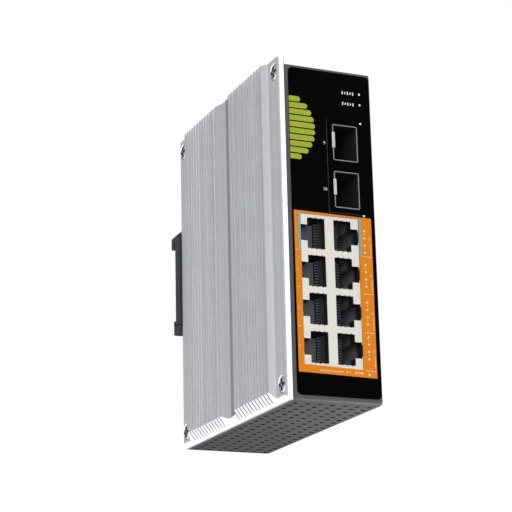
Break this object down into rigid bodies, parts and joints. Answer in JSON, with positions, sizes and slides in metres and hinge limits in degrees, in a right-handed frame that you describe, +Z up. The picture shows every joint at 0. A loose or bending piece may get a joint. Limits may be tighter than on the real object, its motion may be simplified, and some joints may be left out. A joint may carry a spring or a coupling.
{
  "type": "din rail ethernet switch",
  "caption": "Slim rail-mounted network switch: folded steel case, finned aluminium side plate, stacked sockets and module cages in front, sprung rail latch at the back.",
  "frame": {"origin": "middle of the footprint, on the underside of the case", "axes": "+Z up, -Y out of the front face with the sockets, -X out of the finned plate, +Y towards the mounting rail"},
  "size_m": [0.0388, 0.109, 0.1288],
  "materials": {
    "painted_steel": "fine powder coat, satin",
    "brushed_aluminium": "drawn along the fins, brushed",
    "plated_screw": "zinc plated",
    "black_screw": "black oxide",
    "printed_film": "glossy printed polyester",
    "circuit_board": "solder mask over glass fibre",
    "brass_post": "turned",
    "black_plastic": "moulded",
    "tinned_can": "tinned sheet",
    "port_plastic": "moulded",
    "gilt_contact": "gold plated",
    "plated_cage": "nickel plated sheet",
    "clear_acrylic": "polished moulding",
    "light_diode": "clear resin",
    "chip_package": "moulded",
    "thermal_rubber": "soft pad",
    "ferrite": "sintered",
    "capacitor_can": "shrunk sleeve",
    "green_plastic": "moulded",
    "tinned_pin": "tinned",
    "black_bracket": "powder coat",
    "black_latch": "powder coat",
    "spring_steel": "drawn"
  },
  "bodies": {
    "case": {"front_wrap": "painted_steel", "rear_cover": "painted_steel", "heat_sink_plate": "brushed_aluminium", "plate_screws": "plated_screw", "cover_screws": "black_screw", "bracket_screws": "plated_screw", "clinch_nuts": "plated_screw", "front_overlay": "printed_film", "main_board": "circuit_board", "sfp_board": "circuit_board", "board_posts": "brass_post", "sfp_posts": "brass_post", "board_screws": "plated_screw", "sfp_screws": "plated_screw", "board_link": "black_plastic", "jack_shield": "tinned_can", "jack_housing": "port_plastic", "jack_contacts": "gilt_contact", "sfp_cage_lower": "plated_cage", "sfp_cage_upper": "plated_cage", "sfp_connectors": "black_plastic", "port_light_pipes": "clear_acrylic", "status_light_pipes": "clear_acrylic", "leds": "light_diode", "switch_chip": "chip_package", "poe_chips": "chip_package", "thermal_pads": "thermal_rubber", "port_magnetics": "black_plastic", "transformer": "ferrite", "inductors": "ferrite", "capacitors": "capacitor_can", "terminal_housing": "green_plastic", "terminal_pins": "tinned_pin", "ground_washer": "plated_screw", "ground_screw": "plated_screw", "din_bracket": "black_bracket", "latch_spring": "spring_steel"},
    "latch": {"din_latch": "black_latch"}
  },
  "joints": [
    {"name": "latch_slide", "type": "slide", "parent": "case", "child": "latch", "axis": [0, 0, -1], "range_m": [0, 0.0036], "stiffness_N_per_m": 1200, "springref_m": -0.003, "deforming": ["latch_spring"]}
  ]
}
